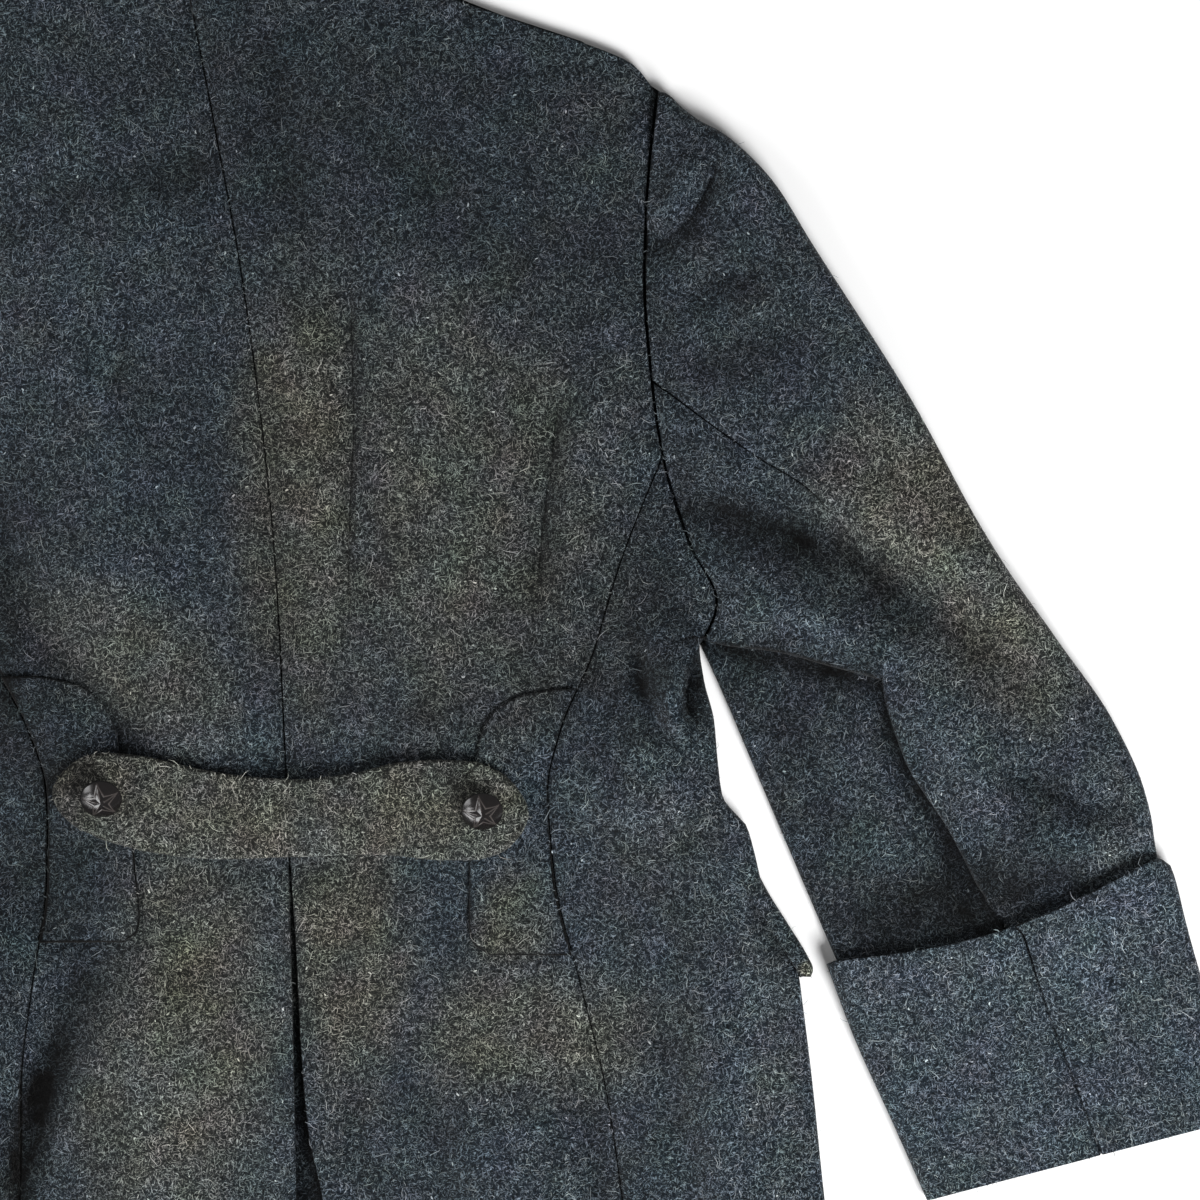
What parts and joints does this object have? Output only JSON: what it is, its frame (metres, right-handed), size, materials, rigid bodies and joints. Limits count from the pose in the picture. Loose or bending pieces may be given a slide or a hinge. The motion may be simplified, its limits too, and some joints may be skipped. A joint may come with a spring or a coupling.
{
  "type": "greatcoat",
  "caption": "Long wool greatcoat laid face down and flat, with a half belt at the back, turned back cuffs, tail flaps, an open back vent and its collar turned up.",
  "frame": {"origin": "middle of the laid coat's box, on the surface that it lies on", "axes": "+Y up the coat from hem to collar, +Z out of its back, away from the surface, +X to the right arm as seen from the back"},
  "size_m": [1.0206, 1.3195, 0.0315],
  "materials": {
    "grey_melton": "milled wool with a short nap, heathered grey blue",
    "dark_button": "dark brown, glossy, moulded star"
  },
  "bodies": {
    "root": {"back_left": "grey_melton", "back_right": "grey_melton", "front_left": "grey_melton", "front_right": "grey_melton", "vent_underlap": "grey_melton", "collar": "grey_melton", "top_sleeve_left": "grey_melton", "top_sleeve_right": "grey_melton", "under_sleeve_left": "grey_melton", "under_sleeve_right": "grey_melton", "cuff_left": "grey_melton", "cuff_right": "grey_melton", "tail_flap_left": "grey_melton", "tail_flap_right": "grey_melton", "pocket_flap_left": "grey_melton", "pocket_flap_right": "grey_melton", "half_belt": "grey_melton", "belt_button_left": "dark_button", "belt_button_right": "dark_button"}
  },
  "joints": []
}
